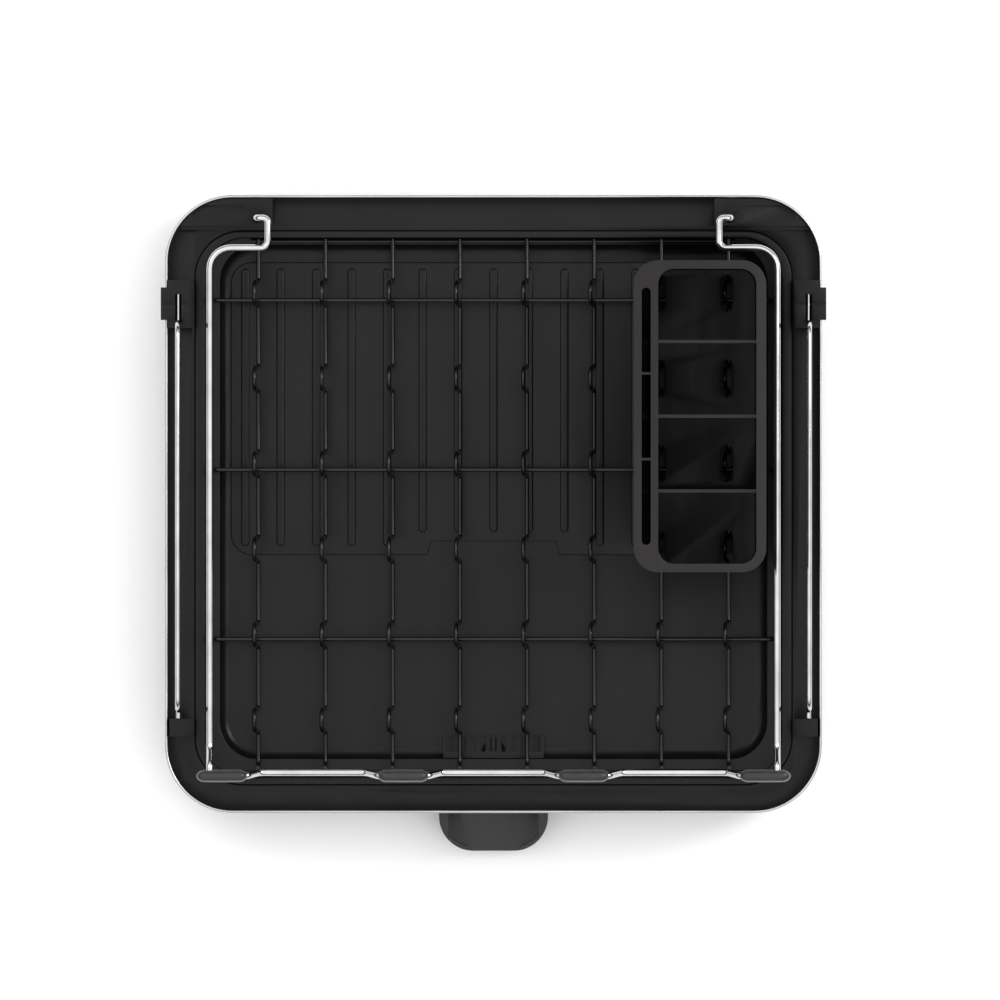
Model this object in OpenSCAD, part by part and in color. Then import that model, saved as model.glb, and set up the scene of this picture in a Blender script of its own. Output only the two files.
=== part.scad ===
// Compact dish drying rack: a steel band round a plastic base, with a lift-out drip tray, a lift-out
// wire basket, a utensil caddy, a swivelling drain spout and two fold-out side loops.
// +Z is up and -Y is the front, where the spout is. The table is at z = 0.

/* [Steel band] */
// Width of the band, left to right
band_w = 379; // [360:1:420]
// Depth of the band, front to back
band_d = 356.6; // [340:0.2:400]
// Height of the band
band_h = 46; // [40:1:50]
// Outer corner radius of the band
band_r = 39; // [34:1:46]
// Thickness of the band
band_t = 1.6; // [1.2:0.1:2]
// Height of the band's lower edge above the table
band_z = 30; // [29:1:32]

/* [Base and feet] */
// Height of the underside of the base above the table
base_z = 26; // [26:1:28]
// Height of the deck's top above the table
deck_z = 66; // [64:1:68]
// Wall thickness of the base
base_t = 2.4; // [2:0.1:3]
// Distance of each foot from the centre line, left to right
foot_x = 148; // [140:1:150]
// Distance of each foot from the middle, front to back
foot_y = 140; // [134:1:142]
// Radius of a foot at its foot pad
foot_r = 13; // [10:0.5:14]
// Thickness of a rubber foot pad
pad_t = 3; // [2:0.5:4]

/* [Drip tray] */
// Width of the tray's rim
tray_w = 344.4; // [340:0.2:346]
// Depth of the tray's rim
tray_d = 319.5; // [316:0.5:320]
// Corner radius of the tray's rim
tray_r = 27; // [24:1:30]
// Wall thickness of the tray
tray_t = 2; // [1.6:0.1:2.4]
// Height of the tray's inner floor above the table
tray_floor_z = 40; // [39:0.5:41]
// Distance between drainage ribs
rib_pitch = 20.5; // [20:0.1:21]
// Number of drainage ribs
rib_count = 15; // [9:2:15]

/* [Drain spout] */
// How far the spout stands out in front of the band
spout_reach = 22.4; // [15:0.2:30]
// Width of the spout
spout_w = 63; // [56:1:66]
// Height of the spout's gutter
spout_h = 15; // [12:1:16]
// Distance of the spout's pivot behind the front of the band
pivot_back = 35.3; // [34:0.1:37]
// Outer radius of the spout's collar
collar_r = 15; // [14:0.5:16]

/* [Wire basket] */
// Diameter of the bright rail
rail_d = 4; // [3.6:0.2:4.6]
// Height of the rail's centre line above the table
rail_z = 120; // [112:1:130]
// Distance of each side rail from the centre line
rail_x = 163.3; // [162:0.1:164]
// How far the rail rises at each grip
crest_rise = 9; // [6:1:12]
// Diameter of the black wires
wire_d = 2.4; // [2:0.1:2.8]
// Height of the cross wires' centre line above the table
floor_z = 50; // [49:0.5:52]
// Distance between plate wires
wire_pitch = 38.8; // [38:0.1:39.2]
// Distance between humps along a plate wire
hump_pitch = 49.3; // [48:0.1:50]
// Height of a hump above its wire
hump_h = 22; // [18:1:24]
// Length of a hump along its wire
hump_l = 18.6; // [17:0.2:20]
// How far a hump leans to the left at its top
hump_lean = 2.3; // [0:0.1:3]

/* [Grips] */
// Length of a silicone grip
grip_l = 29.5; // [26:0.5:32]
// Width of a silicone grip, front to back
grip_w = 7.2; // [6.6:0.2:8]
// Height of a silicone grip
grip_h = 8.4; // [7:0.2:10]

/* [Utensil caddy] */
// Width of the caddy at its rim
caddy_w = 76.2; // [72:0.2:78]
// Length of the caddy at its rim
caddy_l = 179.2; // [170:0.2:180]
// Height of the caddy
caddy_h = 116; // [80:1:120]
// Corner radius of the caddy's rim
caddy_r = 14; // [12:0.5:18]
// Width of the knife slot
knife_w = 5.2; // [5:0.1:6]

/* [Side loops] */
// Diameter of a side loop's wire
loop_d = 3; // [2.6:0.2:3.4]
// Height of a side loop above its pivot
loop_h = 45; // [30:1:50]
// Distance of a side loop from the centre line
loop_x = 181.8; // [181:0.1:182.2]

/* [Hidden] */
$fn = 48;
black = [0.07, 0.065, 0.065];
charcoal = [0.16, 0.15, 0.15];
steel = [0.78, 0.78, 0.78];
// The band's centre stands behind the origin, so that the origin is under the middle of the whole rack.
mid_y = spout_reach / 2;
front_y = -band_d / 2;
// Clearances between parts that move on each other, and of a pin in its bore.
gap = 0.3;
run = 0.05;
eps = 0.01;
band_top = band_z + band_h;
shell_w = band_w - 2 * band_t;
shell_d = band_d - 2 * band_t;
shell_r = band_r - band_t;
flange_w = 40;
// Screws up through the feet.
screw_bore_r = 1.8;
head_bore_r = 5;
head_depth = 11;
head_t = 2.6;
rim_t = 2;
ledge_t = 2.4;
// The tray's rim, its upper pocket and its lower pan, each by its centre and size.
tray_y = -2.2;
pocket_w = tray_w - 11.4;
pocket_d = tray_d - 7.8;
pocket_r = tray_r - 5;
pan_w = 316;
pan_d = 297;
pan_y = 1.3;
pan_r = 14;
pan_h = 7;
panel_w = 303.6;
panel_back = 139.7;
panel_front = -29.4;
panel_t = 1;
rib_w = 4.8;
rib_t = 1;
notch_w = 88;
notch_l = 8;
// The spout turns about this point under the drain.
pivot_y = front_y + pivot_back;
spout_len = pivot_back + spout_reach;
spout_z = base_z - gap - spout_h;
spout_t = 2.4;
tip_r = 20;
collar_bore = 11.6;
ring_z = base_z + rim_t + gap;
ring_t = 2.4;
ring_w = 3.4;
bridge_w = 72;
bridge_d = 64;
drain_r = 7;
stub_r = 9;
// Wire levels and places.
plate_z = floor_z + wire_d;
front_rail_y = -154.5;
crest_y = front_rail_y - 2;
crest_z = rail_z + crest_rise;
side_back_y = 147.5;
back_wire_y = 151.8;
cross_y = 19.8;
cross_pitch = 97.9;
hump_first_y = 121.8;
hump_count = 6;
// How far the bends at a hump's foot and top, at the front upright and in a cross wire reach.
hump_foot = 3;
hump_top = 6;
front_bend = 5;
cross_bend = 6;
plate_count = 8;
block_in_x = 127.5;
block_front_y = 160.4;
block_h = 8;
post_x = 136.5;
post_y = 164.6;
hook_x = 129.9;
grip_x = [-156.3, -51.9, 51.9, 156.3];
crest_half = 14;
slope_l = 8;
// Caddy places.
caddy_x = 118.6;
caddy_y = 50.4;
caddy_z = plate_z + wire_d / 2 + gap;
caddy_t = 2.4;
caddy_rim_h = 5;
cell_w = 56.4;
cell_x = 122.8;
cell_gap = 42.9;
divider_t = 1.9;
divider_drop = 8;
knife_x = 87.7;
knife_l = 147.8;
knife_web_t = 1.4;
knife_drain_d = 3.6;
drain_slot_w = 7.4;
drain_slot_l = 21.6;
// Side loop places.
loop_z = band_top + 4.5;
loop_back_y = 103.8;
loop_front_y = -118;
clip_back_y = 129.2;
clip_front_y = 101.5;
hook_back_y = 124.9;
hook_front_y = 106.2;
hook_t = 2.4;
clip_in_x = 173.4;
bore_back_y = 121;
bracket_back_y = -123.8;
bracket_front_y = -134.2;
bracket_in_x = 174;
holder_top = loop_z + 4;

// A rectangle with round corners, centred.
module round_rect(w, d, r) {
    square([w - 2 * r, d], center = true);
    square([w, d - 2 * r], center = true);
    for (x = [-1, 1], y = [-1, 1])
        translate([x * (w / 2 - r), y * (d / 2 - r)]) circle(r = r);
}

// A slot outline with round ends, centred, its length along Y.
module slot_shape(w, l) {
    square([w, l - w], center = true);
    for (y = [-1, 1])
        translate([0, y * (l - w) / 2]) circle(d = w);
}

// A solid of the rounded outline from z0 to z1.
module round_block(w, d, r, z0, z1) {
    translate([0, 0, z0]) linear_extrude(z1 - z0) round_rect(w, d, r);
}

// Puts its children in the band's frame.
module in_band() {
    translate([0, mid_y, 0]) children();
}

// Mirrors its children to the left or right side.
module on_side(side) {
    if (side > 0) children();
    else mirror([1, 0, 0]) children();
}

function unit(v) = v / norm(v);

// A straight round bar from a to b.
module bar(a, b, d) {
    v = b - a;
    len = norm(v);
    translate(a) rotate([0, acos(v.z / len), atan2(v.y, v.x)]) cylinder(d = d, h = len);
}

// The points of a smooth bend at corner b, between a and c. It takes up the length t on both sides.
function bend(a, b, c, t, steps) =
    let (from = b + t * unit(a - b), to = b + t * unit(c - b))
    [for (i = [0 : steps]) let (u = i / steps)
        (1 - u) * (1 - u) * from + 2 * u * (1 - u) * b + u * u * to];

// A route through pts with each inner corner bent over the length in t.
function route(pts, t, steps) = [pts[0],
    for (i = [1 : len(pts) - 2]) each bend(pts[i - 1], pts[i], pts[i + 1], t[i], steps),
    pts[len(pts) - 1]];

// The direction of a route at each of its points.
function headings(p) = [for (i = [0 : len(p) - 1])
    unit((i > 0 ? unit(p[i] - p[i - 1]) : [0, 0, 0]) + (i < len(p) - 1 ? unit(p[i + 1] - p[i]) : [0, 0, 0]))];

// A side direction carried along the headings without twist.
function sides(h, n, i = 0) = i == len(h) ? []
    : let (m = unit(n - (n * h[i]) * h[i])) concat([m], sides(h, m, i + 1));

// A round wire swept along a route through pts, started with the side direction n.
module swept(pts, t, d, n, steps, rim) {
    p = route(pts, t, steps);
    h = headings(p);
    m = sides(h, n);
    last = len(p) - 1;
    skin = [for (i = [0 : last], j = [0 : rim - 1])
        let (a = 360 * j / rim) p[i] + d / 2 * (cos(a) * m[i] + sin(a) * cross(h[i], m[i]))];
    wall = [for (i = [0 : last - 1], j = [0 : rim - 1])
        let (k = (j + 1) % rim) [i * rim + j, (i + 1) * rim + j, (i + 1) * rim + k, i * rim + k]];
    ends = [[for (j = [0 : rim - 1]) j], [for (j = [rim - 1 : -1 : 0]) last * rim + j]];
    polyhedron(skin, concat(wall, ends));
}

// A round rod through pts, made of straight bars and round bends over the lengths in t.
// All its corners are square.
module rod(pts, t, d) {
    for (i = [0 : len(pts) - 2]) {
        go = unit(pts[i + 1] - pts[i]);
        bar(pts[i] + t[i] * go, pts[i + 1] - t[i + 1] * go, d);
    }
    for (i = [1 : len(pts) - 2]) {
        go = unit(pts[i] - pts[i - 1]);
        axis = unit(cross(go, unit(pts[i + 1] - pts[i])));
        out = cross(go, axis);
        centre = pts[i] - t[i] * go - t[i] * out;
        multmatrix([[out.x, go.x, axis.x, centre.x],
                    [out.y, go.y, axis.y, centre.y],
                    [out.z, go.z, axis.z, centre.z],
                    [0, 0, 0, 1]])
            rotate_extrude(angle = 90) translate([t[i], 0]) circle(d = d);
    }
}

function flip(pts) = [for (i = [len(pts) - 1 : -1 : 0]) [-pts[i].x, pts[i].y, pts[i].z]];
function back_to_front(v) = [for (i = [len(v) - 1 : -1 : 0]) v[i]];

// Brushed steel band, with its upper edge rolled inwards.
module steel_band() {
    color(steel) in_band() difference() {
        round_block(band_w, band_d, band_r, band_z, band_top);
        round_block(shell_w, shell_d, shell_r, band_z - 1, band_top + 1);
    }
}

// Base: skirt, deck round the tray, ledge under the tray's rim, and a bottom flange with the spout bridge.
module base_shell() {
    color(black) in_band() {
        difference() {
            union() {
                skirt();
                deck();
                flange();
            }
            translate([0, pivot_y, base_z - 1]) cylinder(r = collar_r + run, h = 8, $fn = 64);
            foot_holes(screw_bore_r);
        }
    }
}

module skirt() {
    difference() {
        round_block(shell_w, shell_d, shell_r, base_z, deck_z);
        round_block(shell_w - 2 * base_t, shell_d - 2 * base_t, shell_r - base_t, base_z - 1, deck_z + 1);
    }
}

module deck() {
    difference() {
        round_block(shell_w - 1, shell_d - 1, shell_r - 0.5, deck_z - rim_t - ledge_t - gap, deck_z);
        translate([0, tray_y, 0])
            round_block(tray_w + 1.2, tray_d + 1.2, tray_r + 0.6, deck_z - rim_t - gap, deck_z + 1);
        translate([0, tray_y, 0])
            round_block(pocket_w + 2 * tray_t + 1, pocket_d + 2 * tray_t + 1,
                pocket_r + tray_t + 0.5, 0, deck_z);
    }
}

module flange() {
    difference() {
        round_block(shell_w - 1, shell_d - 1, shell_r - 0.5, base_z, base_z + rim_t);
        round_block(shell_w - 2 * flange_w, shell_d - 2 * flange_w, 12, base_z - 1, base_z + rim_t + 1);
    }
    translate([0, front_y + bridge_d / 2 + 3, base_z + rim_t / 2])
        cube([bridge_w, bridge_d, rim_t], center = true);
}

module foot_holes(r) {
    for (x = [-foot_x, foot_x], y = [-foot_y, foot_y])
        translate([x, y, base_z - 1]) cylinder(r = r, h = 8);
}

// Raised block in a back corner, with the socket for the rail's post.
module corner_block(side) {
    color(black) in_band() on_side(side) difference() {
        union() {
            intersection() {
                round_block(shell_w - 0.2, shell_d - 0.2, shell_r - 0.1, deck_z, deck_z + block_h);
                translate([block_in_x, block_front_y, deck_z]) cube([60, 30, block_h]);
            }
            intersection() {
                round_block(shell_w - 0.2, shell_d - 0.2, shell_r - 0.1, deck_z, deck_z + block_h / 2);
                translate([block_in_x + 5, block_front_y - 2.2, deck_z]) cube([60, 5, block_h / 2]);
            }
        }
        translate([post_x, post_y, deck_z + 2]) cylinder(d = rail_d + 2 * gap, h = block_h);
        translate([block_in_x + 16.5, block_front_y + 3, deck_z + 5]) cube([30, 9, 4]);
    }
}

// One leg of the base: a tapered post with a recess for the screw head.
module foot(x, y) {
    color(black) in_band() translate([x, y, pad_t]) difference() {
        cylinder(r1 = foot_r, r2 = foot_r + 3, h = base_z - pad_t);
        translate([0, 0, -1]) cylinder(r = head_bore_r, h = head_depth + 1);
        cylinder(r = screw_bore_r, h = base_z);
    }
}

// Rubber rings that the rack stands on.
module foot_pads() {
    color([0.1, 0.1, 0.1]) in_band()
        for (x = [-foot_x, foot_x], y = [-foot_y, foot_y])
            translate([x, y, 0]) difference() {
                cylinder(r = foot_r - 0.6, h = pad_t);
                translate([0, 0, -1]) cylinder(r = 5.4, h = pad_t + 2);
            }
}

// Pan-head screws up through the feet into the base.
module foot_screws() {
    color(steel) in_band()
        for (x = [-foot_x, foot_x], y = [-foot_y, foot_y])
            translate([x, y, pad_t + head_depth - head_t]) {
                cylinder(r = 3.4, h = head_t);
                translate([0, 0, head_t]) cylinder(r = 1.5, h = base_z + rim_t - pad_t - head_depth);
            }
}

// Lift-out tray with a ribbed panel at the back and the drain well at the front.
module drip_tray() {
    color(black) in_band() {
        difference() {
            tray_body();
            translate([0, pivot_y, 0]) cylinder(r = drain_r, h = deck_z);
        }
        difference() {
            translate([0, pivot_y, base_z + rim_t + 3])
                cylinder(r = stub_r, h = tray_floor_z - base_z - rim_t - 4);
            translate([0, pivot_y, 0]) cylinder(r = drain_r, h = deck_z);
        }
        tray_panel();
    }
}

module tray_body() {
    difference() {
        union() {
            translate([0, tray_y, 0]) {
                round_block(tray_w, tray_d, tray_r, deck_z - rim_t, deck_z);
                round_block(pocket_w + 2 * tray_t, pocket_d + 2 * tray_t, pocket_r + tray_t,
                    tray_floor_z + pan_h - tray_t, deck_z - eps);
            }
            translate([0, pan_y, 0])
                round_block(pan_w + 2 * tray_t, pan_d + 2 * tray_t, pan_r + tray_t,
                    tray_floor_z - tray_t, tray_floor_z + pan_h);
        }
        translate([0, tray_y, 0])
            round_block(pocket_w, pocket_d, pocket_r, tray_floor_z + pan_h, deck_z + 1);
        translate([0, pan_y, 0])
            round_block(pan_w, pan_d, pan_r, tray_floor_z, deck_z);
    }
}

module tray_panel() {
    panel_d = panel_back - panel_front;
    mid = (panel_back + panel_front) / 2;
    difference() {
        translate([0, mid, 0])
            round_block(panel_w, panel_d, 12, tray_floor_z - eps, tray_floor_z + panel_t);
        translate([0, panel_front, tray_floor_z]) linear_extrude(panel_t + 1)
            polygon([[-notch_w / 2, -1], [notch_w / 2, -1],
                [notch_w / 2 - notch_l, notch_l], [notch_l - notch_w / 2, notch_l]]);
    }
    for (i = [0 : rib_count - 1]) {
        x = (i - (rib_count - 1) / 2) * rib_pitch;
        front = abs(x) < notch_w / 2 ? panel_front + notch_l + 5 : panel_front + 5;
        back = panel_back - 3.5;
        translate([x, (front + back) / 2, tray_floor_z + panel_t - eps])
            linear_extrude(rib_t) slot_shape(rib_w, back - front);
    }
}

// Strainer in the drain well: a slotted plate, a front bar and three fins.
module drain_grate() {
    half = 29;
    back = pivot_y + 9;
    front = pan_y - pan_d / 2 + 0.4;
    color(black) in_band() {
        difference() {
            translate([-half, front, tray_floor_z]) cube([2 * half, back - front, 1.6]);
            for (x = [-24 : 6 : 24])
                translate([x, (back + front) / 2 + 1.6, tray_floor_z - 1])
                    linear_extrude(4) slot_shape(3, 9);
        }
        translate([-half, front, tray_floor_z + 1.6 - eps]) cube([2 * half, 3.4, 4.4]);
        for (x = [-half, -0.8, half - 1.6])
            translate([x, front, tray_floor_z + 1.6 - eps]) cube([1.6, back - front, 3]);
    }
}

// Swivelling gutter: open on top, with an open tip and a collar that turns in the bridge.
module spout() {
    color(black) in_band() translate([0, pivot_y, 0]) difference() {
        union() {
            translate([0, 0, spout_z]) linear_extrude(spout_h) spout_plan(0);
            translate([0, 0, spout_z + spout_h - eps])
                cylinder(r = collar_r, h = gap + rim_t + gap + ring_t + 0.8 + eps, $fn = 64);
        }
        translate([0, 0, spout_z + spout_t]) linear_extrude(spout_h - 2 * spout_t) spout_plan(spout_t);
        translate([0, -collar_r - 6, spout_z + spout_h - spout_t - 1]) mirror([0, 1, 0])
            translate([-spout_w / 2 + spout_t + 3, 0, 0]) cube([spout_w - 2 * spout_t - 6, spout_len, 10]);
        translate([-spout_w / 2 + tip_r - 4, -spout_len - 1, spout_z + spout_t])
            cube([spout_w - 2 * tip_r + 8, 10, spout_h]);
        translate([0, 0, spout_z + spout_t]) cylinder(r = collar_bore, h = base_z);
    }
}

// Outline of the spout, drawn in by the given inset: round about the pivot, with round tip corners.
module spout_plan(inset) {
    r = spout_w / 2 - inset;
    circle(r = r, $fn = 64);
    corner = tip_r - inset;
    translate([-r, -spout_len + tip_r]) square([2 * r, spout_len - tip_r]);
    translate([corner - r, inset - spout_len]) square([2 * (r - corner), tip_r]);
    for (x = [-1, 1])
        translate([x * (r - corner), -spout_len + tip_r]) circle(r = corner);
}

// Snap ring that holds the spout's collar up in the bridge.
module spout_ring() {
    color(black) in_band() translate([0, pivot_y, ring_z]) difference() {
        cylinder(r = collar_r + ring_w, h = ring_t, $fn = 64);
        translate([0, 0, -1]) cylinder(r = collar_r + run, h = ring_t + 2, $fn = 64);
    }
}

// Half of the rail's route, from a back socket to the middle of the front.
half_rail = [
    [-post_x, post_y, deck_z + 3], [-post_x, post_y, rail_z], [-hook_x, post_y, rail_z],
    [-hook_x, side_back_y, rail_z], [-rail_x, side_back_y, rail_z],
    [-rail_x, crest_y + 16, rail_z], [-rail_x, crest_y + 6, crest_z], [-rail_x, crest_y, crest_z],
    [grip_x[0] + crest_half, crest_y, crest_z], [grip_x[0] + crest_half + slope_l, front_rail_y, rail_z],
    [grip_x[1] - crest_half - slope_l, front_rail_y, rail_z], [grip_x[1] - crest_half, crest_y, crest_z],
    [grip_x[1] + crest_half, crest_y, crest_z], [grip_x[1] + crest_half + slope_l, front_rail_y, rail_z]];
half_bends = [0, 3, 3, 4, 12, 3, 2.5, 3, 2.5, 2.5, 2.5, 2.5, 2.5, 2.5];

// One bright rod: back posts, side rails, and the front rail with its four crests.
module rail_frame() {
    color(steel) in_band()
        swept(concat(half_rail, flip(half_rail)), concat(half_bends, back_to_front(half_bends)), rail_d,
            [0, 1, 0], 4, 12);
}

// Black wire welded under the front rail.
module front_wire() {
    z = rail_z - (rail_d + wire_d) / 2;
    color(black) in_band()
        bar([-150, front_rail_y, z], [150, front_rail_y, z], wire_d);
}

// Black wire along the back of the basket's floor.
module back_wire() {
    color(black) in_band()
        bar([-140, back_wire_y, floor_z], [140, back_wire_y, floor_z], wire_d);
}

// A cross wire: up from one side rail, across the floor, and up to the other.
module cross_wire(i) {
    y = cross_y + (1 - i) * cross_pitch;
    top = rail_z - rail_d / 2;
    color(black) in_band()
        rod([[-rail_x, y, top], [-rail_x, y, floor_z], [rail_x, y, floor_z], [rail_x, y, top]],
            [0, cross_bend, cross_bend, 0], wire_d);
}

// Where plate wire i lies, left to right.
function wire_x(i) = (i - (plate_count - 1) / 2) * wire_pitch;

// The four corners of hump k on a plate wire at x.
function hump(x, k) =
    let (y = hump_first_y - k * hump_pitch, w = hump_l / 2 - hump_foot)
    [[x, y + w, plate_z], [x - hump_lean, y + w, plate_z + hump_h],
     [x - hump_lean, y - w, plate_z + hump_h], [x, y - w, plate_z]];

// A plate wire: along the floor in humps, and up to the front wire.
module plate_wire(i) {
    x = wire_x(i);
    front = front_rail_y + wire_d;
    humps = [for (k = [0 : hump_count - 1]) each hump(x, k)];
    bends = [for (k = [0 : hump_count - 1]) each [hump_foot, hump_top, hump_top, hump_foot]];
    color(black) in_band()
        swept(concat([[x, back_wire_y + 1.2, plate_z]], humps,
                [[x, front, plate_z], [x, front, rail_z - rail_d / 2 - wire_d / 2]]),
            concat([0], bends, [front_bend, 0]), wire_d, [1, 0, 0], 2, 8);
}

// Silicone grip moulded on a crest of the rail.
module grip(i) {
    r = grip_w / 2;
    straight = grip_l - grip_w;
    color(charcoal) in_band() translate([grip_x[i], crest_y, crest_z]) {
        for (z = [-1, 1])
            translate([-straight / 2, 0, z * (grip_h - grip_w) / 2]) {
                rotate([0, 90, 0]) cylinder(r = r, h = straight);
                sphere(r = r);
                translate([straight, 0, 0]) sphere(r = r);
            }
        cube([straight, grip_w, grip_h - grip_w], center = true);
        for (x = [-1, 1])
            translate([x * straight / 2, 0, -(grip_h - grip_w) / 2]) cylinder(r = r, h = grip_h - grip_w);
    }
}

// Utensil caddy: four cells behind a knife slot, with floor slots that the humps stand up in.
module caddy() {
    top = caddy_z + caddy_h;
    cell_l = caddy_l - 9.8;
    color(charcoal) in_band() difference() {
        translate([caddy_x, caddy_y, 0]) {
            round_block(caddy_w - 3, caddy_l - 3, caddy_r - 1.5, caddy_z, top - 1);
            round_block(caddy_w, caddy_l, caddy_r, top - caddy_rim_h, top);
        }
        difference() {
            translate([cell_x, caddy_y, 0]) round_block(cell_w, cell_l, 9, caddy_z + caddy_t, top + 1);
            for (i = [-1 : 1])
                translate([cell_x, caddy_y + i * cell_gap, caddy_z + (caddy_h - divider_drop) / 2])
                    cube([cell_w + 2, divider_t, caddy_h - divider_drop], center = true);
        }
        translate([knife_x, caddy_y, caddy_z + caddy_t]) linear_extrude(caddy_h)
            difference() {
                slot_shape(knife_w, knife_l);
                for (y = [-1, 1])
                    translate([0, y * knife_l / 6]) square([knife_w + 1, knife_web_t], center = true);
            }
        for (i = [plate_count - 2, plate_count - 1], k = [0 : 3])
            translate([wire_x(i) - hump_lean / 2, hump_first_y - k * hump_pitch, caddy_z - 1])
                linear_extrude(hump_h + 1) slot_shape(drain_slot_w, drain_slot_l);
        for (k = [-1 : 1])
            translate([knife_x, caddy_y + k * cell_gap, caddy_z - 1])
                cylinder(d = knife_drain_d, h = caddy_t + 2);
    }
}

// Fold-out side loop with a pivot pin at each end.
module side_loop(side) {
    top = loop_z + loop_h;
    color(steel) in_band() on_side(side)
        rod([[loop_x, bore_back_y + 5, loop_z], [loop_x, loop_back_y, loop_z], [loop_x, loop_back_y, top],
                [loop_x, loop_front_y, top], [loop_x, loop_front_y, loop_z],
                [loop_x, bracket_front_y + 2, loop_z]],
            [0, 3, 8, 8, 3, 0], loop_d);
}

// Clip over the band that carries a loop's back pin: it stands on the deck and hooks over the band.
module loop_clip(side) {
    outer = band_w / 2;
    mid = (clip_front_y + clip_back_y) / 2;
    color(black) in_band() on_side(side) difference() {
        union() {
            translate([clip_in_x, clip_front_y, deck_z])
                cube([outer - band_t - clip_in_x, clip_back_y - clip_front_y, holder_top - deck_z]);
            translate([clip_in_x, hook_front_y, band_top])
                cube([outer + hook_t - clip_in_x, hook_back_y - hook_front_y, holder_top - band_top]);
            translate([outer, hook_front_y, band_top - 12])
                cube([hook_t, hook_back_y - hook_front_y, 13]);
        }
        translate([loop_x, bore_back_y + 6, loop_z]) rotate([90, 0, 0])
            cylinder(d = loop_d + 2 * run, h = 60);
        translate([loop_x - loop_d / 2 - gap, clip_front_y - 1, loop_z])
            cube([loop_d + 2 * gap, bore_back_y - clip_front_y + 1, 20]);
        translate([loop_x - loop_d / 2 - 1, clip_front_y - 1, loop_z - loop_d])
            cube([30, hook_front_y - clip_front_y + 1, 30]);
        translate([clip_in_x - 1, (hook_back_y + hook_front_y) / 2 - 0.5, holder_top - 0.8])
            cube([40, 1, 2]);
    }
}

// Bracket on the deck that carries a loop's front pin.
module loop_bracket(side) {
    outer = band_w / 2 - band_t - 1;
    color(black) in_band() on_side(side) difference() {
        union() {
            translate([bracket_in_x, bracket_front_y, deck_z])
                cube([outer - bracket_in_x, bracket_back_y - bracket_front_y, holder_top - deck_z]);
            translate([clip_in_x, bracket_front_y, deck_z])
                cube([4, bracket_back_y - bracket_front_y, 6]);
        }
        translate([loop_x, bracket_back_y + 1, loop_z]) rotate([90, 0, 0])
            cylinder(d = loop_d + 2 * run, h = 10);
    }
}

steel_band();
base_shell();
corner_block(-1);  // corner_block_left
corner_block(1);  // corner_block_right
foot(-foot_x, -foot_y);  // foot_front_left
foot(foot_x, -foot_y);  // foot_front_right
foot(-foot_x, foot_y);  // foot_back_left
foot(foot_x, foot_y);  // foot_back_right
foot_pads();
foot_screws();
drip_tray();
drain_grate();
spout();
spout_ring();
rail_frame();
front_wire();
back_wire();
cross_wire(0);  // cross_wire_1
cross_wire(1);  // cross_wire_2
cross_wire(2);  // cross_wire_3
plate_wire(0);  // plate_wire_1
plate_wire(1);  // plate_wire_2
plate_wire(2);  // plate_wire_3
plate_wire(3);  // plate_wire_4
plate_wire(4);  // plate_wire_5
plate_wire(5);  // plate_wire_6
plate_wire(6);  // plate_wire_7
plate_wire(7);  // plate_wire_8
grip(0);  // grip_1
grip(1);  // grip_2
grip(2);  // grip_3
grip(3);  // grip_4
caddy();
side_loop(-1);  // side_loop_left
side_loop(1);  // side_loop_right
loop_clip(-1);  // loop_clip_left
loop_clip(1);  // loop_clip_right
loop_bracket(-1);  // loop_bracket_left
loop_bracket(1);  // loop_bracket_right
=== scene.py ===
"""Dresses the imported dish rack: its wires, mouldings, steel band and grips, on a pale floor."""

import logging
import math
from collections.abc import Callable, Sequence
from dataclasses import dataclass, field
from enum import Enum

import bpy
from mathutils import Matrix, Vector


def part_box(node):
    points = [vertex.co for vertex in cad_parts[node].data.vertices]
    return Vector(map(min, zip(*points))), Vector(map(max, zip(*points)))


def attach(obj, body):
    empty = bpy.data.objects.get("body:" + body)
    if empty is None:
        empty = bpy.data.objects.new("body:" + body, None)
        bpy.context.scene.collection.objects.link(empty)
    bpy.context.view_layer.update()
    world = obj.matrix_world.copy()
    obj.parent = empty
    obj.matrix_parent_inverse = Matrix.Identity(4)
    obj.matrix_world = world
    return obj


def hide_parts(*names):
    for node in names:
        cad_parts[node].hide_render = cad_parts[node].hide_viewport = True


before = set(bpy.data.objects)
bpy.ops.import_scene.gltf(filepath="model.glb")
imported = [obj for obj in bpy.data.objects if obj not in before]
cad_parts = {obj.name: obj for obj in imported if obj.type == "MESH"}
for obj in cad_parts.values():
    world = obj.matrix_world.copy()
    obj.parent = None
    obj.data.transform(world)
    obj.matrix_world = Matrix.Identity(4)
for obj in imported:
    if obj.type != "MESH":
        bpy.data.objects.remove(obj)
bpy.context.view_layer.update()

MM = 0.001
NEAR = 0.1 * MM
TINY = 0.01 * MM
SMOOTH_ANGLE = math.radians(32)
Triple = tuple[float, float, float]
log = logging.getLogger("dish_rack")


class Body(Enum):
    """The rigid bodies that pieces ride on."""

    BASE = "base"
    TRAY = "tray"
    BASKET = "basket"
    CADDY = "caddy"
    SPOUT = "spout"
    LOOP_LEFT = "loop_left"
    LOOP_RIGHT = "loop_right"


class Slot(Enum):
    """The record's material slots."""

    STEEL = "steel_band"
    BRIGHT = "bright_wire"
    BLACK_WIRE = "black_wire"
    BASE = "base_plastic"
    TRAY = "tray_plastic"
    SPOUT = "spout_plastic"
    CADDY = "caddy_plastic"
    SILICONE = "grip_silicone"
    PAD = "pad_rubber"
    SCREW = "screw_steel"


class Part(Enum):
    """What can be selected on a mesh."""

    VERT = "VERT"
    EDGE = "EDGE"
    FACE = "FACE"


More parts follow.
